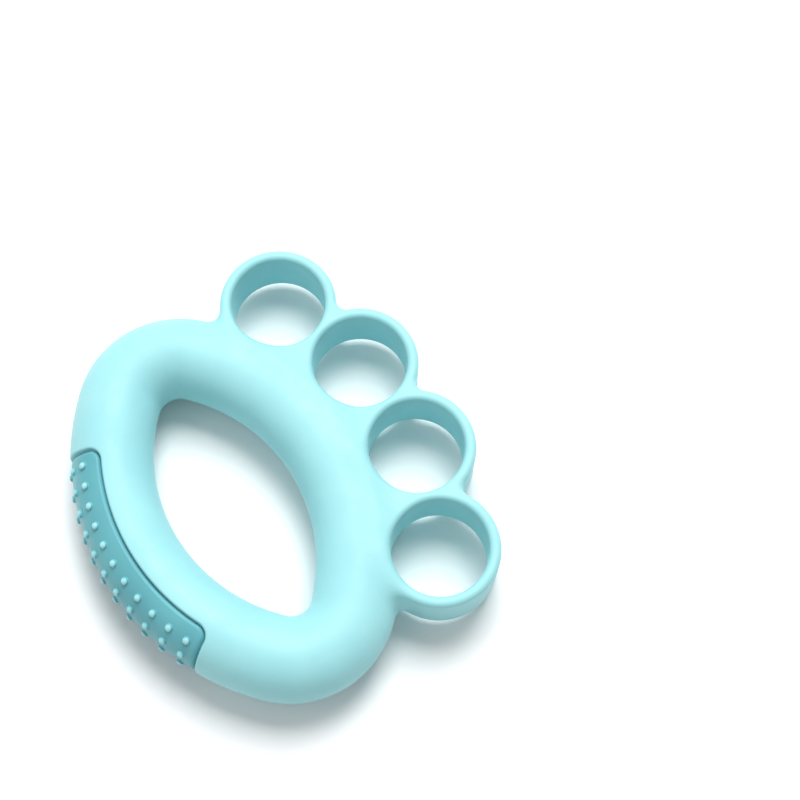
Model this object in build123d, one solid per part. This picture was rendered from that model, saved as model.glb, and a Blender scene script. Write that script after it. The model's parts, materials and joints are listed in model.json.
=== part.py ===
from build123d import *
import os
from math import asin, atan2, cos, degrees, radians, sin, sqrt

# Hand grip strengthener: a soft silicone squeeze ring with four finger loops and a nubbed palm pad.
# Millimetres. It lies flat: +Z is up, +X runs from the index finger to the little finger, and +Y
# runs from the palm to the fingertips. Every piece is drawn about the middle of the squeeze ring
# and moved to the part's origin, the middle of its underside, when it is written.

# Squeeze ring: a round silicone tube bent to a long oval of two wide arcs and two end bends
ARC_RADIUS = 58.0  # centreline radius of the palm side and of the finger side
RING_HALF_WIDTH = 27.5  # from the ring's middle to the centreline of either long side
BEND_RADIUS = 15.75  # centreline radius of the end bends
TUBE_RADIUS = 10.75  # the solid tube's own radius
SQUEEZE_TRAVEL = 22.0  # how far the hand closes the finger side towards the palm side
SQUEEZE_GAP = 1.0  # left between the two rigid sides at the end of that travel

# Finger loops: four round bores side by side along the finger side
BORE_RADIUS = 12.5  # inside of each finger loop
LOOP_WALL = 3.0  # thickness of the band over each finger
WEB_WALL = 2.6  # thinnest wall between neighbouring bores
LOOP_DEPTH = 16.0  # length of each bore, along Z
BORE_BITE = 2.5  # how far each bore cuts below the crest of the tube
EDGE_ROUND = 1.0  # rounding of the loops' rims
CUSP_ROUND = 2.0  # rounding of the valleys between neighbouring loops
BOW_MARGIN = 0.4  # a loop's moving bow starts this far beyond the valley's rounding
SEAT_RISE = 0.25  # the loop walls stand on a seat this far above the tube's crest
FLOOR_RISE = 1.0  # web material kept above the lower meeting point of neighbouring loops
LOOP_COUNT = 4

# Palm pad: a thin textured inlay in the palm side, set in a pocket with a groove around it
PAD_HALF_SPAN = 27.65  # degrees along the palm side, from its middle to either end
PAD_HALF_WRAP = 80.0  # degrees around the tube, from its outermost line to either long edge
PAD_THICKNESS = 1.3
PAD_RECESS = 0.4  # pad face below the tube's own surface
PAD_GROOVE = 0.5  # open gap between the pad and the pocket's wall
PAD_CORNER = 3.0  # corner radius of the pad's outline
NUB_RADIUS = 1.05
NUB_HEIGHT = 0.9  # above the pad's face, and as deep again into the pad
NUB_ROUND = 0.6  # rounding of a nub's tip
NUB_COLUMNS = 11  # along the pad
NUB_ROWS = 5  # around the tube
NUB_COLUMN_STEP = 4.88  # degrees along the palm side
NUB_ROW_STEP = 26.6  # degrees around the tube

# Ring layout: the wide arcs' centres lie beyond the middle, and the end bends join them tangentially
arc_offset = ARC_RADIUS - RING_HALF_WIDTH
bend_centre_x = sqrt((ARC_RADIUS - BEND_RADIUS) ** 2 - arc_offset**2)
arc_half_angle = degrees(atan2(bend_centre_x, arc_offset))
bend_half_angle = 90.0 - arc_half_angle
crest_radius = ARC_RADIUS + TUBE_RADIUS
finger_arc_centre = (0.0, -arc_offset)
palm_arc_centre = (0.0, arc_offset)
flex_half_width = (SQUEEZE_TRAVEL + SQUEEZE_GAP) / 2  # the ends flex within this distance of the middle

# Loop layout: bore centres on one arc about the finger side's own centre
loop_radius = BORE_RADIUS + LOOP_WALL
loop_arc_radius = crest_radius - BORE_BITE + BORE_RADIUS
half_spacing = BORE_RADIUS + WEB_WALL / 2
half_pitch = asin(half_spacing / loop_arc_radius)
loop_pitch = 2 * degrees(half_pitch)
loop_angles = [(i - (LOOP_COUNT - 1) / 2) * loop_pitch for i in range(LOOP_COUNT)]
loop_names = ["index", "middle", "ring", "little"]
seat_radius = crest_radius + SEAT_RISE
meeting_rise = sqrt(loop_radius**2 - half_spacing**2)
floor_radius = loop_arc_radius * cos(half_pitch) - meeting_rise + FLOOR_RISE
round_rise = sqrt((loop_radius + CUSP_ROUND) ** 2 - half_spacing**2)
round_top = (round_rise * cos(half_pitch) - half_spacing * sin(half_pitch)) * loop_radius
bow_start = round_top / (loop_radius + CUSP_ROUND) + BOW_MARGIN

# Pad layout
pad_face_radius = TUBE_RADIUS - PAD_RECESS
pad_back_radius = pad_face_radius - PAD_THICKNESS
groove_wrap = degrees(PAD_GROOVE / TUBE_RADIUS)
groove_span = degrees(PAD_GROOVE / crest_radius)
nub_tip_radius = ARC_RADIUS + pad_face_radius + NUB_HEIGHT

# The part's origin is the middle of its underside
front_y = loop_arc_radius * cos(half_pitch) + loop_radius - arc_offset
back_y = arc_offset - max(nub_tip_radius, crest_radius)
to_origin = Pos(0, -(front_y + back_y) / 2, TUBE_RADIUS)


def tube_bend(centre, radius, middle_angle, half_angle):
    """A stretch of the ring's tube: centreline radius about a centre, angles measured from +X."""
    section = Plane(origin=(radius, 0, 0), x_dir=(1, 0, 0), z_dir=(0, -1, 0)) * Circle(TUBE_RADIUS)
    bend = revolve(section, Axis.Z, 2 * half_angle)
    return Pos(*centre) * Rot(0, 0, middle_angle - half_angle) * bend


def on_finger_arc(distance, angle):
    """A point at a distance from the finger side's centre, its angle measured from +Y towards +X."""
    turn = radians(angle)
    return distance * sin(turn), distance * cos(turn) - arc_offset


def drum(radius):
    """An upright cylinder about the finger side's centre, taller than the part."""
    return Pos(*finger_arc_centre) * Cylinder(radius, 4 * TUBE_RADIUS)


def loop_plate():
    """All four loops as one plate, with the floor between them that runs down into the tube."""
    outline = Sketch()
    for angle in loop_angles:
        outline += Pos(*on_finger_arc(loop_arc_radius, angle)) * Circle(loop_radius)
    wedge_reach = 2 * loop_arc_radius
    wedge = Polygon(
        (0, 0),
        (-wedge_reach * sin(radians(loop_angles[-1])), wedge_reach * cos(radians(loop_angles[-1]))),
        (wedge_reach * sin(radians(loop_angles[-1])), wedge_reach * cos(radians(loop_angles[-1]))),
        align=None,
    )
    floor = (Circle(floor_radius) - Circle(ARC_RADIUS)) & wedge
    outline += Pos(*finger_arc_centre) * floor
    outline = fillet(valley_points(outline), CUSP_ROUND)
    for angle in loop_angles:
        outline -= Pos(*on_finger_arc(loop_arc_radius, angle)) * Circle(BORE_RADIUS)
    plate = extrude(outline, LOOP_DEPTH / 2, both=True)
    flat_faces = plate.faces().filter_by(Axis.Z)
    return fillet(flat_faces.edges(), EDGE_ROUND)


def valley_points(outline):
    """The corners where the rims of neighbouring loops meet, on the fingertip side."""
    valley_radius = loop_arc_radius * cos(half_pitch) + meeting_rise
    centre = Vector(*finger_arc_centre)
    return [p for p in outline.vertices() if abs((Vector(*p) - centre).length - valley_radius) < 0.05]


def bow_block(angle):
    """The space that holds one loop's bow: everything beyond its start line, one loop wide."""
    block = Pos(0, loop_arc_radius + bow_start + loop_radius) * Box(
        2 * loop_radius, 2 * loop_radius, 2 * LOOP_DEPTH
    )
    return Pos(*finger_arc_centre) * Rot(0, 0, -angle) * block


def pad_shell(inner_radius, outer_radius, half_span, half_wrap, corner):
    """A rounded-corner patch of the palm side's skin between two radii of the tube."""
    wrap = radians(half_wrap)
    flank = [(radius * cos(wrap), radius * sin(wrap)) for radius in (inner_radius, outer_radius)]
    section = make_face(
        [
            ThreePointArc((flank[1][0], -flank[1][1]), (outer_radius, 0), flank[1]),
            Line(flank[1], flank[0]),
            ThreePointArc(flank[0], (inner_radius, 0), (flank[0][0], -flank[0][1])),
            Line((flank[0][0], -flank[0][1]), (flank[1][0], -flank[1][1])),
        ]
    )
    placed = Plane(origin=(ARC_RADIUS, 0, 0), x_dir=(1, 0, 0), z_dir=(0, -1, 0)) * section
    shell = revolve(placed, Axis.Z, 2 * half_span)
    corners = shell.edges().filter_by(GeomType.LINE)
    return Pos(*palm_arc_centre) * Rot(0, 0, -90 - half_span) * fillet(corners, corner)


def nub(column, row):
    """One round nub, its place counted from the pad's middle."""
    stud = Cylinder(NUB_RADIUS, 2 * NUB_HEIGHT)
    stud = fillet(stud.edges().group_by(Axis.Z)[-1], NUB_ROUND)
    around_tube = Pos(ARC_RADIUS, 0, 0) * Rot(0, -row * NUB_ROW_STEP, 0) * Pos(pad_face_radius, 0, 0)
    along_palm = Rot(0, 0, -90 + column * NUB_COLUMN_STEP) * around_tube
    return Pos(*palm_arc_centre) * along_palm * Rot(0, 90, 0) * stud


def ring_tube():
    """The whole oval tube."""
    tube = tube_bend(finger_arc_centre, ARC_RADIUS, 90, arc_half_angle)
    tube += tube_bend((-bend_centre_x, 0), BEND_RADIUS, 180, bend_half_angle)
    tube += tube_bend(palm_arc_centre, ARC_RADIUS, -90, arc_half_angle)
    return tube + tube_bend((bend_centre_x, 0), BEND_RADIUS, 0, bend_half_angle)


def side_block(side):
    """The space of one long side, -1 the palm's and +1 the fingers', beyond the flexing ends."""
    reach = 2 * crest_radius
    return Pos(0, side * (flex_half_width + reach / 2)) * Box(2 * reach, reach, 4 * TUBE_RADIUS)


def palm_side(tube):
    """The palm's long side of the ring, with the pad's pocket sunk in its outer face."""
    pocket = pad_shell(
        pad_back_radius,
        TUBE_RADIUS + 1,
        PAD_HALF_SPAN + groove_span,
        PAD_HALF_WRAP + groove_wrap,
        PAD_CORNER + PAD_GROOVE,
    )
    return (tube & side_block(-1)) - pocket


def palm_pad():
    """The textured pad with its grid of nubs."""
    pad = pad_shell(pad_back_radius, pad_face_radius, PAD_HALF_SPAN, PAD_HALF_WRAP, PAD_CORNER)
    columns = [i - (NUB_COLUMNS - 1) / 2 for i in range(NUB_COLUMNS)]
    rows = [i - (NUB_ROWS - 1) / 2 for i in range(NUB_ROWS)]
    return pad.fuse(*[nub(column, row) for column in columns for row in rows])


def finger_side(tube, plate, bores):
    """The fingers' long side of the ring, scalloped by the bores, up to the seat of the loop walls."""
    return ((tube & side_block(1)) + (plate & drum(seat_radius))) - bores


def flexing_ends(tube):
    """The two ends that bend when the ring is squeezed, the index finger's first."""
    return (tube - side_block(-1) - side_block(1)).solids().sort_by(Axis.X)


def loop_walls(plate, bows):
    """The fixed walls of the loops, sorted from the index finger to the little finger."""
    walls = (plate - drum(seat_radius)) - bows
    return walls.solids().sort_by(Axis.X)


def save(name, shape):
    """Writes one piece at the part's origin."""
    piece = to_origin * shape.solid()
    piece.label = name
    export_step(piece, f"parts/{name}.step")


def main():
    os.makedirs("parts", exist_ok=True)
    plate = loop_plate()
    bores = [
        Pos(*on_finger_arc(loop_arc_radius, angle)) * Cylinder(BORE_RADIUS, 4 * TUBE_RADIUS)
        for angle in loop_angles
    ]
    bows = [bow_block(angle) for angle in loop_angles]

    tube = ring_tube()

    save("ring_palm_side", palm_side(tube))
    save("palm_pad", palm_pad())
    save("ring_finger_side", finger_side(tube, plate, bores))
    for name, end in zip(["ring_end_index", "ring_end_little"], flexing_ends(tube)):
        save(name, end)

    wall_names = ["loop_side_index", "web_index_middle", "web_middle_ring", "web_ring_little",
                  "loop_side_little"]
    for name, wall in zip(wall_names, loop_walls(plate, bows)):
        save(name, wall)
    for name, block in zip(loop_names, bows):
        save(f"loop_bow_{name}", plate & block)


main()
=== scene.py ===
import json
import logging
import math
from dataclasses import dataclass
from enum import Enum

import bmesh
import bpy
import numpy as np
from mathutils import Matrix, Vector

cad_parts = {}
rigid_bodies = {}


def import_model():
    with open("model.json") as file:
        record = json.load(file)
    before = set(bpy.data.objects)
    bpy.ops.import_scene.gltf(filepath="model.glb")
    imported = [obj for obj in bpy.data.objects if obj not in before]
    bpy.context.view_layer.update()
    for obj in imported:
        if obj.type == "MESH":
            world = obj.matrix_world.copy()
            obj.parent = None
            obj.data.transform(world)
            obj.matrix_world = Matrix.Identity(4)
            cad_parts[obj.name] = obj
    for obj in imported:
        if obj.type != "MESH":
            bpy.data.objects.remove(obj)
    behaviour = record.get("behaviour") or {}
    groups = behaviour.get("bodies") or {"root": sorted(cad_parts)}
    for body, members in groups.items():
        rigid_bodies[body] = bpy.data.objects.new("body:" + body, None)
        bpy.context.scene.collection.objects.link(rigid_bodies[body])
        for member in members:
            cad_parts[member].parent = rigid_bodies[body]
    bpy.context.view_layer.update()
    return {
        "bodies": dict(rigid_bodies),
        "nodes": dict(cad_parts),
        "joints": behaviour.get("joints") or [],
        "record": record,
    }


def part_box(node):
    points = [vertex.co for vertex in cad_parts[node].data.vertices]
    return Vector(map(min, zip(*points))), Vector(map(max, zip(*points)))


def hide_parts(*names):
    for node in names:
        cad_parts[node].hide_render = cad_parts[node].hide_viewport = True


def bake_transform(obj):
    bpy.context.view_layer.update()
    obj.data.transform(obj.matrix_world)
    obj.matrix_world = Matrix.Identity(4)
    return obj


# Looks of a silicone hand grip strengthener: an oval squeeze ring, four finger loops and a nubbed pad.
# Shapes are worked out in millimetres about the middle of the squeeze ring, with +X towards the
# little finger, +Y towards the fingertips and +Z up, and are written in metres in the part's frame.

log = logging.getLogger("grip_strengthener")

MM = 0.001
NUB_HEIGHT_ATTRIBUTE = "nub_height"
SAME_POINT = 1e-5  # points this close, in millimetres, are one point
SEAM = 1e-3  # the rolled-up skin's two edges meet within this, in millimetres
NOISE_SPAN = {"From Min": 0.35, "From Max": 0.65}  # where most of a noise texture's values lie


class Finger(Enum):
    """The fingers that have a loop, in order along +X."""

    INDEX = "index"
    MIDDLE = "middle"
    RING = "ring"
    LITTLE = "little"


class Body(Enum):
    """The bodies of the frame that the ring spans."""

    PALM = "palm_side"
    FINGERS = "finger_side"


class Slot(Enum):
    """The record's finishes."""

    BODY = "silicone_body"
    PAD = "silicone_pad"


# ---------------------------------------------------------------- sizes read from the frame


@dataclass(frozen=True)
class RingSizes:
    """The oval tube, in millimetres. What its CAD nodes' boxes give is read from them."""

    middle: Vector
    tube: float
    half_length: float
    flex: float
    half_width: float = 27.5
    bend: float = 15.75

    @classmethod
    def from_frame(cls) -> "RingSizes":
        """Reads the ring's sizes from its end bend.

        Returns:
            The sizes, with the ring's middle in the part's frame.
        """
        end_low, end_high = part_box("ring_end_little")
        middle = Vector((0.0, (end_low.y + end_high.y) / 2, (end_low.z + end_high.z) / 2))
        tube = (end_high.z - end_low.z) / 2
        return cls(
            middle=middle / MM,
            tube=tube / MM,
            half_length=(end_high.x - tube) / MM,
            flex=(end_high.y - end_low.y) / 2 / MM,
        )

    @property
    def bend_x(self) -> float:
        """Distance of an end bend's centre from the middle."""
        return self.half_length - self.bend

    @property
    def arc(self) -> float:
        """Centreline radius of the two long sides, which meet the end bends tangentially."""
        gap = self.half_width - self.bend
        return (gap**2 + self.bend_x**2) / (2 * gap) + self.bend

    @property
    def offset(self) -> float:
        """Distance of a long side's centre beyond the middle."""
        return self.arc - self.half_width

    @property
    def arc_angle(self) -> float:
        """Half the angle that a long side spans, in radians."""
        return math.atan2(self.bend_x, self.offset)


@dataclass(frozen=True)
class LoopSizes:
    """One finger loop about the ring's middle, in millimetres, from its mount, joint and bow."""

    finger: Finger
    centre: Vector
    outward: Vector
    bore: float
    outer: float
    half_depth: float
    bow_start: float

    @classmethod
    def from_frame(cls, frame: dict, finger: Finger, ring: RingSizes) -> "LoopSizes":
        """Reads one loop's sizes.

        Args:
            frame: The loaded frame.
            finger: The finger that the loop is for.
            ring: The ring that the loop stands on.

        Returns:
            The loop's sizes.
        """
        mount = next(m for m in frame["record"]["mounts"] if m["name"] == f"{finger.value}_finger_bore")
        joint = next(j for j in frame["joints"] if j["name"] == f"{finger.value}_loop_stretch")
        centre = Vector(mount["pos_m"]) / MM - ring.middle
        outward = Vector(joint["axis"]).normalized()
        bow = frame["nodes"][f"loop_bow_{finger.value}"].data.vertices
        rises = [(v.co / MM - ring.middle - centre).dot(outward) for v in bow]
        low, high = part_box(f"loop_bow_{finger.value}")
        return cls(
            finger=finger,
            centre=centre,
            outward=outward,
            bore=mount["dims"]["r_mm"],
            outer=max(rises),
            half_depth=(high.z - low.z) / 2 / MM,
            bow_start=min(rises),
        )

    @property
    def sideways(self) -> Vector:
        """The direction along the row of loops."""
        return Vector((self.outward.y, -self.outward.x, 0.0))

    def is_bow(self, point: Vector) -> bool:
        """Says whether a point lies in the loop's stretching bow.

        Args:
            point: A place about the ring's middle.

        Returns:
            True beyond the bow's foot.
        """
        from_centre = point - self.centre
        across = abs(from_centre.dot(self.sideways))
        return across < self.outer and from_centre.dot(self.outward) > self.bow_start


# ---------------------------------------------------------------- small helpers


def linear(hex_code: str) -> tuple[float, float, float, float]:
    """Turns an sRGB hex colour to linear RGBA.

    Args:
        hex_code: A colour such as "#8ed7de".

    Returns:
        Red, green, blue and alpha.
    """
    parts = [int(hex_code[i : i + 2], 16) / 255 for i in (1, 3, 5)]
    lit = [c / 12.92 if c <= 0.04045 else ((c + 0.055) / 1.055) ** 2.4 for c in parts]
    return (lit[0], lit[1], lit[2], 1.0)


def add_node(
    tree: bpy.types.NodeTree, kind: str, values: dict | None = None, links: dict | None = None
) -> bpy.types.Node:
    """Adds a node with its settings, socket values and incoming links.

    Args:
        tree: The tree that the node goes in.
        kind: The node's type name.
        values: Settings by attribute name, or input values by socket name or number.
        links: Input sockets by name or number, with the output socket that feeds each.

    Returns:
        The new node.
    """
    node = tree.nodes.new(kind)
    for name, value in (values or {}).items():
        if isinstance(name, str) and hasattr(node, name):
            setattr(node, name, value)
        else:
            node.inputs[name].default_value = value
    for name, source in (links or {}).items():
        tree.links.new(source, node.inputs[name])
    return node


def coordinates(verts: list[bmesh.types.BMVert]) -> np.ndarray:
    """The vertices' places as an array of rows."""
    return np.array([v.co for v in verts], float).reshape(-1, 3)


def put(verts: list[bmesh.types.BMVert], points: np.ndarray) -> None:
    """Moves the vertices to the rows of an array."""
    for vertex, point in zip(verts, points):
        vertex.co = point


def everything(bm: bmesh.types.BMesh) -> list:
    """All of a mesh's vertices, edges and faces."""
    return [*bm.verts, *bm.edges, *bm.faces]


def close_cuts(bm: bmesh.types.BMesh) -> None:
    """Fills every open outline with a flat face that has a sharp edge.

    Args:
        bm: The open mesh.
    """
    rims = [e for e in bm.edges if e.is_boundary]
    for face in bmesh.ops.holes_fill(bm, edges=rims, sides=0)["faces"]:
        face.smooth = False
        for edge in face.edges:
            edge.smooth = False
    bmesh.ops.recalc_face_normals(bm, faces=bm.faces)


def cut_off(bm: bmesh.types.BMesh, point: Vector, normal: Vector) -> None:
    """Cuts away what lies beyond a plane and closes the cut.

    Args:
        bm: The mesh.
        point: A point on the plane.
        normal: The direction that is cut away.
    """
    bmesh.ops.bisect_plane(
        bm, geom=everything(bm), dist=SAME_POINT, plane_co=point, plane_no=normal, clear_outer=True
    )
    close_cuts(bm)


def shade_smooth(bm: bmesh.types.BMesh) -> None:
    """Shades every face of a mesh smooth."""
    for face in bm.faces:
        face.smooth = True


def slice_across(bm: bmesh.types.BMesh, axis: Vector, half: float, step: float) -> None:
    """Divides a flat mesh by even cuts, so that it can be bent.

    Args:
        bm: The mesh, centred on the origin.
        axis: The direction that the cuts follow each other in.
        half: Half the mesh's length along it.
        step: About how far apart the cuts are.
    """
    count = round(2 * half / step)
    for i in range(1, count):
        at = axis * (half * (2 * i / count - 1))
        bmesh.ops.bisect_plane(bm, geom=everything(bm), dist=SAME_POINT, plane_co=at, plane_no=axis)


def rounded_sheet(
    half_length: float, half_width: float, corner: float, segments: int = 12
) -> bmesh.types.BMesh:
    """One flat face with rounded corners.

    Args:
        half_length: Half its size along X.
        half_width: Half its size along Y.
        corner: The radius of its corners.
        segments: How many edges each corner has.

    Returns:
        The face, centred on the origin.
    """
    bm = bmesh.new()
    bmesh.ops.create_grid(bm, x_segments=1, y_segments=1, size=1)
    bmesh.ops.scale(bm, verts=bm.verts, vec=(half_length, half_width, 1))
    bmesh.ops.bevel(
        bm,
        geom=bm.verts[:],
        offset=corner,
        segments=segments,
        profile=0.5,
        affect="VERTICES",
        material=-1,
    )
    return bm


def round_edges(bm: bmesh.types.BMesh, edges: list[bmesh.types.BMEdge], radius: float, segments: int) -> None:
    """Rounds edges off.

    Args:
        bm: The mesh.
        edges: Its edges to round.
        radius: How far from an edge the rounding starts.
        segments: How many faces cross it.
    """
    bmesh.ops.bevel(
        bm, geom=edges, offset=radius, segments=segments, profile=0.5, affect="EDGES", material=-1
    )


def remeshed(bm: bmesh.types.BMesh, voxel: float) -> bmesh.types.BMesh:
    """Joins overlapping closed shapes to one skin of even faces.

    Args:
        bm: The shapes, which are freed.
        voxel: The size of the faces.

    Returns:
        The skin.
    """
    mesh = bpy.data.meshes.new("overlapping_shapes")
    bm.to_mesh(mesh)
    bm.free()
    shapes = bpy.data.objects.new("overlapping_shapes", mesh)
    bpy.context.scene.collection.objects.link(shapes)
    remesh = shapes.modifiers.new("skin", "REMESH")
    remesh.mode = "VOXEL"
    remesh.voxel_size = voxel
    remesh.use_smooth_shade = True
    shown = shapes.evaluated_get(bpy.context.evaluated_depsgraph_get())
    skin = bmesh.new()
    skin.from_mesh(shown.to_mesh())
    shown.to_mesh_clear()
    bpy.data.objects.remove(shapes)
    bpy.data.meshes.remove(mesh)
    return skin


# ---------------------------------------------------------------- the moulded form


def filleted(a: np.ndarray, b: np.ndarray, radius: float) -> np.ndarray:
    """Joins two distance fields, with a fillet in the corner between them."""
    corner = np.hypot(np.maximum(radius - a, 0), np.maximum(radius - b, 0))
    return np.maximum(radius, np.minimum(a, b)) - corner


def rounded(a: np.ndarray, b: np.ndarray, radius: float) -> np.ndarray:
    """Keeps what two distance fields share, with a round edge where their surfaces meet."""
    corner = np.hypot(np.maximum(radius + a, 0), np.maximum(radius + b, 0))
    return np.minimum(-radius, np.maximum(a, b)) + corner


@dataclass(frozen=True)
class MouldedForm:
    """The moulding as a distance field: the ring's tube with the loops melted into it."""

    ring: RingSizes
    loops: tuple[LoopSizes, ...]
    root_fillet: float = 5.0
    valley_fillet: float = 3.7
    rim_round: float = 1.35
    bore_round: float = 1.35
    floor_rise: float = 7.0
    least_slope: float = 0.2

    def tube(self, p: np.ndarray) -> np.ndarray:
        """Distance from the oval tube's surface.

        Args:
            p: Rows of points.

        Returns:
            One distance for each, negative inside.
        """
        ring = self.ring
        x, y = np.abs(p[:, 0]), np.abs(p[:, 1])
        on_bend = np.arctan2(x, y + ring.offset) > ring.arc_angle
        bend = np.hypot(x - ring.bend_x, y) - ring.bend
        arc = np.hypot(x, y + ring.offset) - ring.arc
        return np.hypot(np.where(on_bend, bend, arc), p[:, 2]) - ring.tube

    def plate(self, p: np.ndarray) -> np.ndarray:
        """Distance from the scalloped plate that the bores go through.

        Args:
            p: Rows of points.

        Returns:
            One distance for each, negative inside.
        """
        ring, last = self.ring, self.loops[-1]
        discs = [np.hypot(p[:, 0] - k.centre.x, p[:, 1] - k.centre.y) - k.outer for k in self.loops]
        outline = discs[0]
        for disc in discs[1:]:
            outline = filleted(outline, disc, self.valley_fillet)
        reach = np.hypot(p[:, 0], p[:, 1] + ring.offset)
        last_reach = math.hypot(last.centre.x, last.centre.y + ring.offset)
        swing = np.abs(np.arctan2(p[:, 0], p[:, 1] + ring.offset))
        last_swing = math.atan2(last.centre.x, last.centre.y + ring.offset)
        crest = ring.arc + ring.tube
        floor = np.maximum(reach - crest - self.floor_rise, last_reach - last.outer - reach)
        outline = np.minimum(outline, np.maximum(floor, (swing - last_swing) * reach))
        return rounded(outline, np.abs(p[:, 2]) - last.half_depth, self.rim_round)

    def distance(self, p: np.ndarray) -> np.ndarray:
        """Distance from the moulding's surface, without the pad's pocket.

        Args:
            p: Rows of points.

        Returns:
            One distance for each, negative inside.
        """
        solid = filleted(self.tube(p), self.plate(p), self.root_fillet)
        for loop in self.loops:
            inside_bore = loop.bore - np.hypot(p[:, 0] - loop.centre.x, p[:, 1] - loop.centre.y)
            solid = rounded(solid, inside_bore, self.bore_round)
        return solid

    def slope(self, p: np.ndarray, step: float = 0.01) -> np.ndarray:
        """The field's slope at each point.

        Args:
            p: Rows of points.
            step: How far apart the samples on either side are, halved.

        Returns:
            One row for each point.
        """
        rises = [self.distance(p + shift) - self.distance(p - shift) for shift in np.eye(3) * step]
        return np.stack(rises, axis=1) / (2 * step)

    def settle(self, bm: bmesh.types.BMesh, rounds: int = 4, steps: int = 3) -> None:
        """Draws a mesh onto the moulding's surface and evens its faces out.

        Args:
            bm: A mesh that lies near the surface.
            rounds: How many times it is evened out and drawn on again.
            steps: How many moves each drawing takes.
        """
        for _ in range(rounds):
            bmesh.ops.smooth_vert(
                bm, verts=bm.verts, factor=0.5, use_axis_x=True, use_axis_y=True, use_axis_z=True
            )
            points = coordinates(bm.verts)
            for _ in range(steps):
                slope = self.slope(points)
                steepness = np.maximum((slope**2).sum(axis=1), self.least_slope)
                points = points - slope * (self.distance(points) / steepness)[:, None]
            put(bm.verts, points)

    def normals(self, p: np.ndarray) -> np.ndarray:
        """Outward directions at points on the surface."""
        slope = self.slope(p)
        return slope / np.linalg.norm(slope, axis=1)[:, None]


def shade_by(mesh: bpy.types.Mesh, normals: np.ndarray) -> None:
    """Shades a mesh by given directions, and leaves its flat cut faces flat.

    Args:
        mesh: The finished mesh.
        normals: One outward direction for each vertex.
    """
    corners = np.empty(len(mesh.loops), dtype=np.int32)
    mesh.loops.foreach_get("vertex_index", corners)
    directions = normals[corners]
    for face in mesh.polygons:
        if not face.use_smooth:
            directions[list(face.loop_indices)] = face.normal
    mesh.normals_split_custom_set(directions.tolist())


# ---------------------------------------------------------------- finishes


@dataclass(frozen=True)
class MattSilicone:
    """Matt-moulded silicone rubber, platinum-cured and coloured through.

    The tool's spark-eroded grain gives it a soft, powdery look with a broad, weak highlight. Its
    pigment is even, apart from faint clouds, and handling leaves slightly glossier smears.
    """

    name: str
    colour: str
    cloud_colour: str
    roughness: float
    grain_mm: float = 0.5
    grain_height_mm: float = 0.025
    cloud_mm: float = 17.0
    smear_mm: float = 7.0
    smear_change: float = 0.12

    def build(self) -> bpy.types.Material:
        """Makes the material.

        Returns:
            The finished material.
        """
        material = bpy.data.materials.new(self.name)
        material.use_nodes = True
        tree = material.node_tree
        tree.nodes.clear()
        spot = add_node(tree, "ShaderNodeTexCoord").outputs["Object"]
        colour = self.pigment(tree, spot)
        gloss = self.smears(tree, spot)
        relief = self.grain(tree, spot)
        shader = add_node(
            tree,
            "ShaderNodeBsdfPrincipled",
            {"IOR": 1.41, "Sheen Weight": 0.2, "Sheen Roughness": 0.45, "Sheen Tint": linear("#e8ffff")},
            {"Base Color": colour, "Roughness": gloss, "Normal": relief},
        )
        add_node(tree, "ShaderNodeOutputMaterial", {}, {"Surface": shader.outputs["BSDF"]})
        return material

    def pigment(self, tree: bpy.types.NodeTree, spot: bpy.types.NodeSocket) -> bpy.types.NodeSocket:
        """The colour, with faint clouds where the pigment mixed in less evenly.

        Args:
            tree: The material's nodes.
            spot: Where on the object the point is.

        Returns:
            The colour output.
        """
        clouds = add_node(
            tree,
            "ShaderNodeTexNoise",
            {"Scale": 1 / (self.cloud_mm * MM), "Detail": 3.0, "Roughness": 0.5},
            {"Vector": spot},
        )
        share = add_node(
            tree,
            "ShaderNodeMapRange",
            NOISE_SPAN,
            {"Value": clouds.outputs["Fac"]},
        )
        mix = add_node(
            tree,
            "ShaderNodeMix",
            {"data_type": "RGBA", 6: linear(self.colour), 7: linear(self.cloud_colour)},
            {0: share.outputs["Result"]},
        )
        return mix.outputs[2]

    def smears(self, tree: bpy.types.NodeTree, spot: bpy.types.NodeSocket) -> bpy.types.NodeSocket:
        """The roughness, a little lower where fingers have rubbed the surface.

        Args:
            tree: The material's nodes.
            spot: Where on the object the point is.

        Returns:
            The roughness output.
        """
        smears = add_node(
            tree,
            "ShaderNodeTexNoise",
            {"Scale": 1 / (self.smear_mm * MM), "Detail": 4.0, "Distortion": 1.0},
            {"Vector": spot},
        )
        gloss = add_node(
            tree,
            "ShaderNodeMapRange",
            {**NOISE_SPAN, "To Min": self.roughness, "To Max": self.roughness + self.smear_change},
            {"Value": smears.outputs["Fac"]},
        )
        return gloss.outputs["Result"]

    def grain(self, tree: bpy.types.NodeTree, spot: bpy.types.NodeSocket) -> bpy.types.NodeSocket:
        """The tool's grain. The real one is about 0.05 mm, drawn coarser so that it shows.

        Args:
            tree: The material's nodes.
            spot: Where on the object the point is.

        Returns:
            The surface direction output.
        """
        pits = add_node(
            tree,
            "ShaderNodeTexNoise",
            {"Scale": 1 / (self.grain_mm * MM), "Detail": 2.0, "Roughness": 0.6},
            {"Vector": spot},
        )
        relief = add_node(
            tree,
            "ShaderNodeBump",
            {"Strength": 1.0, "Distance": self.grain_height_mm * MM},
            {"Height": pits.outputs["Fac"]},
        )
        return relief.outputs["Normal"]


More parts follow.
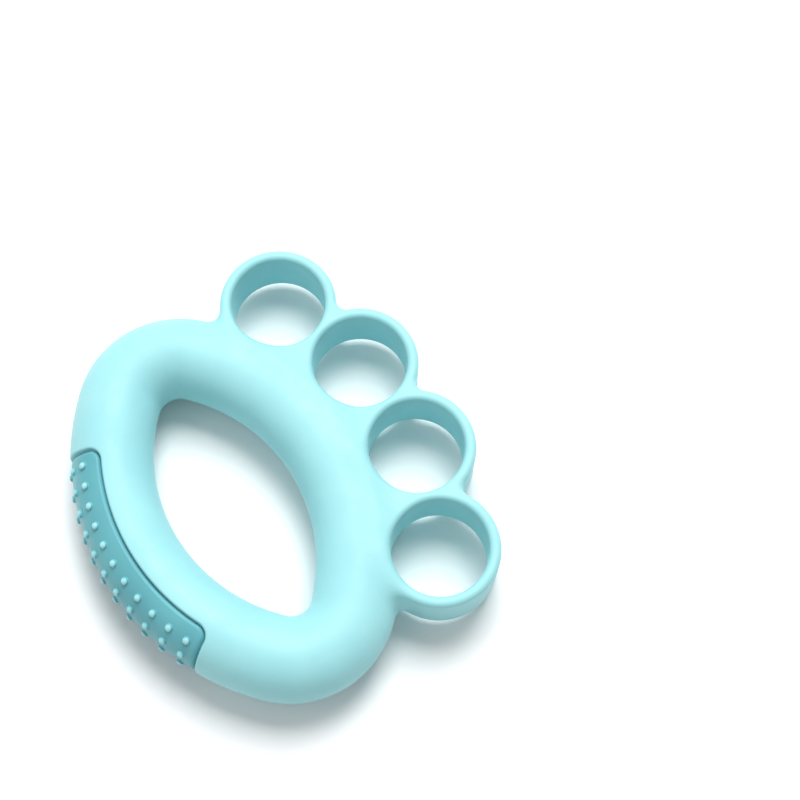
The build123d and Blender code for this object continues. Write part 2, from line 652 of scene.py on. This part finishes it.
@dataclass(frozen=True)
class NubbedSilicone(MattSilicone):
    """The same silicone in a deeper tint for the pad, partly its own tint and partly painted shade,
    smoother-moulded, so that its nubs catch the light.

    The nubs' tips are painted paler, a painted highlight for the light that their tops catch. How far a point
    is up a nub comes from the piece's own attribute.
    """

    # painted highlight: the paler colour that the nubs' tips are mixed towards, for the light their tops
    # catch
    tip_highlight_colour: str = "#b4ebf0"

    def pigment(self, tree: bpy.types.NodeTree, spot: bpy.types.NodeSocket) -> bpy.types.NodeSocket:
        """The pad's colour, with a painted highlight that makes it paler up the nubs.

        Args:
            tree: The material's nodes.
            spot: Where on the object the point is.

        Returns:
            The colour output.
        """
        face = super().pigment(tree, spot)
        height = add_node(tree, "ShaderNodeAttribute", {"attribute_name": NUB_HEIGHT_ATTRIBUTE})
        share = add_node(
            tree,
            "ShaderNodeMapRange",
            {"interpolation_type": "SMOOTHSTEP", "From Min": 0.25, "From Max": 1.0, "To Max": 0.85},
            {"Value": height.outputs["Fac"]},
        )
        # Painted highlight: mixes the colour towards the paler tip colour up each nub.
        mix = add_node(
            tree,
            "ShaderNodeMix",
            {"data_type": "RGBA", 7: linear(self.tip_highlight_colour)},
            {0: share.outputs["Result"], 6: face},
        )
        return mix.outputs[2]


@dataclass(frozen=True)
class PaleBoard:
    """Matt white-painted board under the part: smooth, with a barely uneven coat."""

    name: str = "matt_painted_board"
    colour: str = "#f7f8f8"
    uneven_colour: str = "#f4f5f6"
    uneven_mm: float = 60.0
    roughness: float = 0.85

    def build(self) -> bpy.types.Material:
        """Makes the material.

        Returns:
            The finished material.
        """
        material = bpy.data.materials.new(self.name)
        material.use_nodes = True
        tree = material.node_tree
        tree.nodes.clear()
        spot = add_node(tree, "ShaderNodeTexCoord").outputs["Object"]
        coat = add_node(
            tree, "ShaderNodeTexNoise", {"Scale": 1 / (self.uneven_mm * MM), "Detail": 2.0}, {"Vector": spot}
        )
        tone = add_node(
            tree,
            "ShaderNodeMix",
            {"data_type": "RGBA", 6: linear(self.colour), 7: linear(self.uneven_colour)},
            {0: coat.outputs["Fac"]},
        )
        shader = add_node(
            tree,
            "ShaderNodeBsdfPrincipled",
            {"Roughness": self.roughness},
            {"Base Color": tone.outputs[2]},
        )
        add_node(tree, "ShaderNodeOutputMaterial", {}, {"Surface": shader.outputs["BSDF"]})
        return material


# ---------------------------------------------------------------- sub-assemblies


@dataclass
class Moulding:
    """What the sub-assemblies share: the ring they belong to, their finish, and how their pieces are made."""

    ring: RingSizes
    finish: bpy.types.Material
    slot: Slot = Slot.BODY
    blend_reach: float = 32.0

    def piece(
        self, bm: bmesh.types.BMesh, name: str, normals: np.ndarray | None = None
    ) -> bpy.types.Object:
        """Turns a mesh about the ring's middle into a finished piece in the part's frame.

        Args:
            bm: The mesh in millimetres, which is freed.
            name: The piece's name.
            normals: Outward directions by vertex, where the surface is known exactly.

        Returns:
            The piece, at the origin, with its place in its mesh.
        """
        bmesh.ops.translate(bm, verts=bm.verts, vec=self.ring.middle)
        bmesh.ops.scale(bm, verts=bm.verts, vec=(MM, MM, MM))
        mesh = bpy.data.meshes.new(name)
        bm.to_mesh(mesh)
        bm.free()
        if normals is not None:
            shade_by(mesh, normals)
        piece = bpy.data.objects.new(name, mesh)
        bpy.context.scene.collection.objects.link(piece)
        piece.data.materials.append(self.finish)
        log.info("%s: %d faces", name, len(mesh.polygons))
        return piece

    def follow_squeeze(self, piece: bpy.types.Object) -> None:
        """Bakes a piece's place into its mesh."""
        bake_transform(piece)


def spun_tube(
    ring: RingSizes, start: float, turns: list[tuple[Vector, float, float]], segments: int
) -> bmesh.types.BMesh:
    """A stretch of the ring's tube, open at both ends.

    Args:
        ring: The ring's sizes.
        start: The direction from the first turn's centre to the tube's start, in radians from +X.
        turns: Each turn's centre, centreline radius and sweep in radians, all anticlockwise.
        segments: How many faces there are around the tube.

    Returns:
        The tube's skin.
    """
    bm = bmesh.new()
    first_centre, first_radius, _ = turns[0]
    turned = Matrix.Rotation(start, 4, "Z") @ Matrix.Translation((first_radius, 0, 0))
    upright = turned @ Matrix.Rotation(math.pi / 2, 4, "X")
    place = Matrix.Translation(first_centre) @ upright
    bmesh.ops.create_circle(bm, segments=segments, radius=ring.tube, matrix=place)
    rim = [*bm.verts, *bm.edges]
    step = 2 * math.pi * ring.tube / segments
    for centre, radius, sweep in turns:
        steps = round(sweep * (radius + ring.tube) / step)
        spun = bmesh.ops.spin(bm, geom=rim, cent=centre, axis=(0, 0, 1), angle=sweep, steps=steps)
        rim = [g for g in spun["geom_last"] if not isinstance(g, bmesh.types.BMFace)]
    bmesh.ops.remove_doubles(bm, verts=bm.verts, dist=SAME_POINT)
    shade_smooth(bm)
    return bm


@dataclass
class FlexingEnds(Moulding):
    """The ring's two end bends, level with its middle, which fold tighter when it is squeezed."""

    segments: int = 96
    tip: float = 0.45

    def build(self) -> list[bpy.types.Object]:
        """Builds both ends, the index finger's first."""
        return [self.end(-1, Finger.INDEX), self.end(1, Finger.LITTLE)]

    def end(self, side: int, finger: Finger) -> bpy.types.Object:
        """Builds one end.

        Args:
            side: -1 or 1, the end's side along X.
            finger: The finger that it is nearest to.

        Returns:
            The end, cut flat where the long sides take over.
        """
        ring = self.ring
        turns = [
            (Vector((0, ring.offset, 0)), ring.arc, self.tip),
            (Vector((ring.bend_x, 0, 0)), ring.bend, math.pi - 2 * ring.arc_angle),
            (Vector((0, -ring.offset, 0)), ring.arc, self.tip),
        ]
        bm = spun_tube(ring, ring.arc_angle - math.pi / 2 - self.tip, turns, self.segments)
        for level in (-1, 1):
            cut_off(bm, Vector((0, level * ring.flex, 0)), Vector((0, level, 0)))
        bmesh.ops.scale(bm, verts=bm.verts, vec=(side, 1, 1))
        bmesh.ops.recalc_face_normals(bm, faces=bm.faces)
        piece = self.piece(bm, f"{finger.value}_end_bend")
        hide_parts(f"ring_end_{finger.value}")
        self.follow_squeeze(piece)
        return piece


@dataclass(frozen=True)
class PadLayout:
    """The pad's place on the palm side. Lengths in millimetres, angles in degrees."""

    half_span: float = 27.65
    half_wrap: float = 80.0
    thickness: float = 1.3
    recess: float = 0.4
    groove: float = 0.5
    corner: float = 3.0
    rim_round: float = 1.0
    pocket_round: float = 0.55

    def span_radius(self, ring: RingSizes) -> float:
        """Radius about the palm side's centre at the pad's long edges, where it is laid out true."""
        return ring.arc + ring.tube * math.cos(math.radians(self.half_wrap))

    def half_length(self, ring: RingSizes) -> float:
        """Half the pad's length, laid out flat."""
        return math.radians(self.half_span) * self.span_radius(ring)

    def half_width(self, ring: RingSizes) -> float:
        """Half the pad's width, laid out flat."""
        return math.radians(self.half_wrap) * ring.tube


@dataclass
class PalmSide(Moulding):
    """The palm's long side. Its skin is laid out flat, stepped down for the pad, and rolled up."""

    pad: PadLayout = PadLayout()
    skin_reach: float = math.radians(70)
    step: float = 0.8

    def roll_up(self, flat: np.ndarray, span_radius: float) -> np.ndarray:
        """Rolls flat points round the palm side's tube.

        Args:
            flat: Rows of places along the palm, around the tube and above its surface.
            span_radius: The radius about the palm side's centre that lengths along the palm hold at.

        Returns:
            Rows of points about the ring's middle.
        """
        ring = self.ring
        along, around = flat[:, 0] / span_radius, flat[:, 1] / ring.tube
        on_bend = np.abs(along) > ring.arc_angle
        centre_x = np.where(on_bend, np.sign(along) * ring.bend_x, 0)
        centre_y = np.where(on_bend, 0, ring.offset)
        rise = ring.tube + flat[:, 2]
        reach = np.where(on_bend, ring.bend, ring.arc) + rise * np.cos(around)
        x, y = centre_x + reach * np.sin(along), centre_y - reach * np.cos(along)
        return np.stack([x, y, rise * np.sin(around)], axis=1)

    def build(self) -> bpy.types.Object:
        """Builds the palm side with the pad's pocket.

        Returns:
            The palm side, cut flat where the end bends take over.
        """
        ring, pad = self.ring, self.pad
        span_radius = pad.span_radius(ring)
        half_length, half_girth = self.skin_reach * span_radius, math.pi * ring.tube
        bm = rounded_sheet(
            pad.half_length(ring) + pad.groove, pad.half_width(ring) + pad.groove, pad.corner + pad.groove
        )
        pocket = bm.faces[:]
        skirt = bmesh.ops.extrude_edge_only(bm, edges=bm.edges[:])["geom"]
        for vertex in (g for g in skirt if isinstance(g, bmesh.types.BMVert)):
            vertex.co.x = math.copysign(half_length, vertex.co.x)
            vertex.co.y = math.copysign(half_girth, vertex.co.y)
        bmesh.ops.remove_doubles(bm, verts=bm.verts, dist=SAME_POINT)
        sunk = bmesh.ops.extrude_face_region(bm, geom=pocket)["geom"]
        floor = {g for g in sunk if isinstance(g, bmesh.types.BMVert)}
        bmesh.ops.delete(bm, geom=[f for f in pocket if f.is_valid], context="FACES_ONLY")
        bmesh.ops.translate(bm, verts=list(floor), vec=(0, 0, -pad.recess - pad.thickness))
        walls = [f for f in bm.faces if 0 < sum(v in floor for v in f.verts) < len(f.verts)]
        rim = [e for f in walls for e in f.edges if not any(v in floor for v in e.verts)]
        round_edges(bm, rim, pad.pocket_round, segments=4)
        slice_across(bm, Vector((1, 0, 0)), half_length, self.step)
        slice_across(bm, Vector((0, 1, 0)), half_girth, self.step)
        put(bm.verts, self.roll_up(coordinates(bm.verts), span_radius))
        bmesh.ops.remove_doubles(bm, verts=bm.verts, dist=SEAM)
        shade_smooth(bm)
        cut_off(bm, Vector((0, -ring.flex, 0)), Vector((0, 1, 0)))
        piece = self.piece(bm, "palm_side_tube")
        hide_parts("ring_palm_side")
        self.follow_squeeze(piece)
        return piece


@dataclass
class PalmPad(PalmSide):
    """The textured pad in the palm side's pocket, with rows of round nubs."""

    slot: Slot = Slot.PAD
    step: float = 0.6
    columns: int = 11
    rows: int = 5
    column_step: float = 4.88
    row_step: float = 26.6
    nub_radius: float = 0.98
    nub_height: float = 0.9
    nub_root: float = 0.28
    nub_sunk: float = 0.3
    nub_seat: float = 0.015

    def build(self) -> bpy.types.Object:
        """Builds the pad with its nubs.

        Returns:
            The pad.
        """
        ring, pad = self.ring, self.pad
        half_length, half_width = pad.half_length(ring), pad.half_width(ring)
        bm = rounded_sheet(half_length, half_width, pad.corner)
        raised = bmesh.ops.extrude_face_region(bm, geom=bm.faces[:])["geom"]
        face_verts = {g for g in raised if isinstance(g, bmesh.types.BMVert)}
        bmesh.ops.translate(bm, verts=list(face_verts), vec=(0, 0, pad.thickness))
        rim = [e for e in bm.edges if all(v in face_verts for v in e.verts)]
        round_edges(bm, rim, pad.rim_round, segments=5)
        bmesh.ops.translate(bm, verts=bm.verts, vec=(0, 0, -pad.recess - pad.thickness))
        slice_across(bm, Vector((1, 0, 0)), half_length, self.step)
        slice_across(bm, Vector((0, 1, 0)), half_width, self.step)
        put(bm.verts, self.roll_up(coordinates(bm.verts), pad.span_radius(ring)))
        self.add_nubs(bm)
        bmesh.ops.recalc_face_normals(bm, faces=bm.faces)
        shade_smooth(bm)
        piece = self.piece(bm, "nubbed_palm_pad")
        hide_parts("palm_pad")
        self.follow_squeeze(piece)
        return piece

    def add_nubs(self, bm: bmesh.types.BMesh) -> None:
        """Stands the grid of nubs on the rolled-up pad.

        Args:
            bm: The pad's mesh.
        """
        ring = self.ring
        nub = self.nub()
        heights = bm.verts.layers.float.new(NUB_HEIGHT_ATTRIBUTE)
        face_level = np.array([0, 0, -self.pad.recess])
        for column in range(self.columns):
            along = math.radians((column - (self.columns - 1) / 2) * self.column_step)
            for row in range(self.rows):
                around = math.radians((row - (self.rows - 1) / 2) * self.row_step)
                first = len(bm.verts)
                bm.from_mesh(nub)
                bm.verts.ensure_lookup_table()
                own = bm.verts[first:]
                for vertex in own:
                    vertex[heights] = vertex.co.z / self.nub_height
                span_radius = ring.arc + ring.tube * math.cos(around)
                middle = np.array([along * span_radius, around * ring.tube, 0]) + face_level
                put(own, self.roll_up(coordinates(own) + middle, span_radius))
        bpy.data.meshes.remove(nub)

    def nub(self, steps: int = 20, dome_edges: int = 7, root_edges: int = 4) -> bpy.types.Mesh:
        """One nub on a flat pad: an oval dome that runs out into the pad in a small fillet.

        Args:
            steps: Faces around the nub.
            dome_edges: Edges down the dome.
            root_edges: Edges down the fillet.

        Returns:
            The nub's closed mesh, its root on the ground and its underside below it.
        """
        dome = [i * math.pi / 2 / dome_edges for i in range(dome_edges + 1)]
        root = [i * math.pi / 2 / root_edges for i in range(1, root_edges + 1)]
        rise, spread = self.nub_height - self.nub_root, self.nub_radius + self.nub_root
        line = [(self.nub_radius * math.sin(t), self.nub_root + rise * math.cos(t)) for t in dome]
        line += [(spread - self.nub_root * math.cos(t), self.nub_root * (1 - math.sin(t))) for t in root]
        line += [(spread, -self.nub_sunk), (0, -self.nub_sunk)]
        bm = bmesh.new()
        verts = [bm.verts.new((x, 0, z - self.nub_seat)) for x, z in line]
        edges = [bm.edges.new(pair) for pair in zip(verts, verts[1:])]
        bmesh.ops.spin(
            bm,
            geom=[*verts, *edges],
            cent=(0, 0, 0),
            axis=(0, 0, 1),
            angle=2 * math.pi,
            steps=steps,
            use_merge=True,
        )
        bmesh.ops.remove_doubles(bm, verts=bm.verts, dist=SAME_POINT)
        bmesh.ops.recalc_face_normals(bm, faces=bm.faces)
        mesh = bpy.data.meshes.new("nub")
        bm.to_mesh(mesh)
        bm.free()
        return mesh


@dataclass
class FingerSide(Moulding):
    """The fingers' long side with its four loops, of which each outer bow can stretch."""

    loops: tuple[LoopSizes, ...] = ()
    voxel: float = 0.5
    segments: int = 96
    tip: float = 0.55
    plug: float = 3.2
    stretch_reach: float = 1.2

    def build(self) -> list[bpy.types.Object]:
        """Builds the side with its webs, then the four bows.

        Returns:
            The five pieces, the side first.
        """
        form = MouldedForm(self.ring, self.loops)
        whole = remeshed(self.rough_shapes(), self.voxel)
        form.settle(whole)
        for loop in self.loops:
            bow = [f for f in whole.faces if loop.is_bow(f.calc_center_median() + loop.outward)]
            around = {*bow, *(e for f in bow for e in f.edges), *(v for f in bow for v in f.verts)}
            cut = loop.centre + loop.outward * loop.bow_start
            bmesh.ops.bisect_plane(
                whole, geom=list(around), dist=SAME_POINT, plane_co=cut, plane_no=loop.outward
            )
        pieces = [self.side(whole, form)] + [self.bow(whole, form, loop) for loop in self.loops]
        whole.free()
        return pieces

    def rough_shapes(self) -> bmesh.types.BMesh:
        """The tube, the loops and a plug between each two, as overlapping closed shapes.

        Returns:
            The shapes in one mesh.
        """
        ring = self.ring
        turns = [
            (Vector((ring.bend_x, 0, 0)), ring.bend, self.tip),
            (Vector((0, -ring.offset, 0)), ring.arc, 2 * ring.arc_angle),
            (Vector((-ring.bend_x, 0, 0)), ring.bend, self.tip),
        ]
        bm = spun_tube(ring, math.pi / 2 - ring.arc_angle - self.tip, turns, self.segments)
        close_cuts(bm)
        for loop in self.loops:
            self.add_band(bm, loop)
        centre = Vector((0, -ring.offset, 0))
        for here, after in zip(self.loops, self.loops[1:]):
            towards = ((here.centre + after.centre) / 2 - centre).normalized()
            spot = centre + towards * (ring.arc + ring.tube - self.plug / 2)
            bmesh.ops.create_cone(
                bm,
                cap_ends=True,
                segments=24,
                radius1=self.plug,
                radius2=self.plug,
                depth=2 * here.half_depth,
                matrix=Matrix.Translation(spot),
            )
        return bm

    def add_band(self, bm: bmesh.types.BMesh, loop: LoopSizes) -> None:
        """Adds one loop's round band with square edges.

        Args:
            bm: The mesh that it goes in.
            loop: The loop.
        """
        section = bmesh.ops.create_grid(bm, x_segments=1, y_segments=1, size=1)["verts"]
        bmesh.ops.scale(bm, verts=section, vec=((loop.outer - loop.bore) / 2, loop.half_depth, 1))
        bmesh.ops.rotate(bm, verts=section, cent=(0, 0, 0), matrix=Matrix.Rotation(math.pi / 2, 3, "X"))
        bmesh.ops.translate(bm, verts=section, vec=loop.centre + Vector(((loop.outer + loop.bore) / 2, 0, 0)))
        outline = list({e for v in section for e in v.link_edges})
        faces = list({f for v in section for f in v.link_faces})
        bmesh.ops.delete(bm, geom=faces, context="FACES_ONLY")
        bmesh.ops.spin(
            bm,
            geom=[*section, *outline],
            cent=loop.centre,
            axis=(0, 0, 1),
            angle=2 * math.pi,
            steps=self.segments,
            use_merge=True,
        )
        bmesh.ops.recalc_face_normals(bm, faces=bm.faces)

    def part_of(self, whole: bmesh.types.BMesh, drop: list[bmesh.types.BMFace]) -> bmesh.types.BMesh:
        """A copy of the whole skin without some of its faces, closed where they were.

        Args:
            whole: The skin of the side and the bows.
            drop: The faces to leave out.

        Returns:
            The closed copy.
        """
        whole.faces.index_update()
        dropped = {f.index for f in drop}
        part = whole.copy()
        bmesh.ops.delete(part, geom=[f for f in part.faces if f.index in dropped], context="FACES")
        close_cuts(part)
        return part

    def side(self, whole: bmesh.types.BMesh, form: MouldedForm) -> bpy.types.Object:
        """The long side with its webs, without the bows.

        Args:
            whole: The skin of the side and the bows.
            form: The surface that the skin lies on.

        Returns:
            The side, cut flat where the end bends take over.
        """
        bows = [f for f in whole.faces if any(k.is_bow(f.calc_center_median()) for k in self.loops)]
        bm = self.part_of(whole, bows)
        cut_off(bm, Vector((0, self.ring.flex, 0)), Vector((0, -1, 0)))
        piece = self.piece(bm, "finger_side_with_webs", form.normals(coordinates(bm.verts)))
        webs = ["web_index_middle", "web_middle_ring", "web_ring_little"]
        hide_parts("ring_finger_side", "loop_side_index", *webs, "loop_side_little")
        self.follow_squeeze(piece)
        return piece

    def bow(self, whole: bmesh.types.BMesh, form: MouldedForm, loop: LoopSizes) -> bpy.types.Object:
        """One loop's outer bow, cut from the skin at its feet and closed there.

        Args:
            whole: The skin of the side and the bows.
            form: The surface that the skin lies on.
            loop: The bow's loop.

        Returns:
            The bow.
        """
        rest = [f for f in whole.faces if not loop.is_bow(f.calc_center_median())]
        bm = self.part_of(whole, rest)
        name = loop.finger.value
        piece = self.piece(bm, f"{name}_finger_bow", form.normals(coordinates(bm.verts)))
        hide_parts(f"loop_bow_{name}")
        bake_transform(piece)
        return piece


# ---------------------------------------------------------------- studio


@dataclass(frozen=True)
class SoftBox:
    """A square studio light aimed at the part."""

    name: str
    place: tuple[float, float, float]
    size: float
    power: float
    colour: str = "#ffffff"

    def build(self, target: Vector) -> None:
        """Hangs the light and aims it.

        Args:
            target: The point that it shines at.
        """
        data = bpy.data.lights.new(self.name, "AREA")
        data.size = self.size
        data.energy = self.power
        data.color = linear(self.colour)[:3]
        light = bpy.data.objects.new(self.name, data)
        light.location = self.place
        light.rotation_euler = (target - Vector(self.place)).to_track_quat("-Z", "Y").to_euler()
        bpy.context.scene.collection.objects.link(light)


@dataclass(frozen=True)
class Studio:
    """A pale floor, soft light from the index finger's side, and the camera above."""

    lights: tuple[SoftBox, ...] = (
        SoftBox("key", (-0.68, 0.66, 1.64), 1.0, 30.0),
        SoftBox("fill", (-0.40, -1.22, 1.40), 1.5, 3.6),
    )
    sky: float = 0.37
    backdrop: float = 1.0
    camera_place: tuple[float, float, float] = (0.11709, -0.04133, 0.38958)
    camera_turn: tuple[float, float, float] = (20.751, -0.7575, 57.565)
    lens: float = 68.68
    sensor: float = 36.0
    floor_size: float = 0.8

    def build(self, target: Vector) -> None:
        """Sets the studio up.

        Args:
            target: The point that the lights shine at.
        """
        scene = bpy.context.scene
        scene.view_settings.view_transform = "Standard"
        scene.view_settings.look = "Medium High Contrast"
        self.floor()
        for light in self.lights:
            light.build(target)
        scene.world = self.room()
        data = bpy.data.cameras.new("studio_camera")
        data.lens = self.lens
        data.sensor_width = self.sensor
        data.clip_start = 0.01
        camera = bpy.data.objects.new("studio_camera", data)
        camera.location = self.camera_place
        camera.rotation_euler = [math.radians(a) for a in self.camera_turn]
        scene.collection.objects.link(camera)
        scene.camera = camera

    def room(self) -> bpy.types.World:
        """Makes the white room: its light is soft, and its walls look as pale as the floor.

        Returns:
            The room.
        """
        world = bpy.data.worlds.new("soft_white_room")
        world.use_nodes = True
        tree = world.node_tree
        tree.nodes.clear()
        path = add_node(tree, "ShaderNodeLightPath")
        strength = add_node(
            tree,
            "ShaderNodeMapRange",
            {"To Min": self.sky, "To Max": self.backdrop},
            {"Value": path.outputs["Is Camera Ray"]},
        )
        light = add_node(
            tree,
            "ShaderNodeBackground",
            {"Color": (1, 1, 1, 1)},
            {"Strength": strength.outputs["Result"]},
        )
        add_node(tree, "ShaderNodeOutputWorld", {}, {"Surface": light.outputs["Background"]})
        return world

    def floor(self) -> None:
        """Lays the board that the part lies on."""
        bm = bmesh.new()
        bmesh.ops.create_grid(bm, x_segments=8, y_segments=8, size=self.floor_size / 2)
        mesh = bpy.data.meshes.new("floor_board")
        bm.to_mesh(mesh)
        bm.free()
        board = bpy.data.objects.new("floor_board", mesh)
        board.data.materials.append(PaleBoard().build())
        bpy.context.scene.collection.objects.link(board)


def main() -> None:
    """Builds the part's looks round the frame, piece by piece."""
    logging.basicConfig(level=logging.INFO, format="%(name)s: %(message)s")
    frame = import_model()
    ring = RingSizes.from_frame()
    loops = tuple(LoopSizes.from_frame(frame, finger, ring) for finger in Finger)

    body = MattSilicone("aqua_matt_silicone", "#a6dfe3", "#a0dadf", roughness=0.46).build()
    # The pad's deeper tint is partly its own colour and partly painted shade.
    deep = NubbedSilicone("deep_aqua_satin_silicone", "#70b6be", "#6aafb8", roughness=0.36).build()
    FlexingEnds(ring, body).build()
    PalmSide(ring, body).build()
    PalmPad(ring, deep).build()
    FingerSide(ring, body, loops=loops).build()
    Studio().build(ring.middle * MM)


if __name__ == "__main__":
    main()
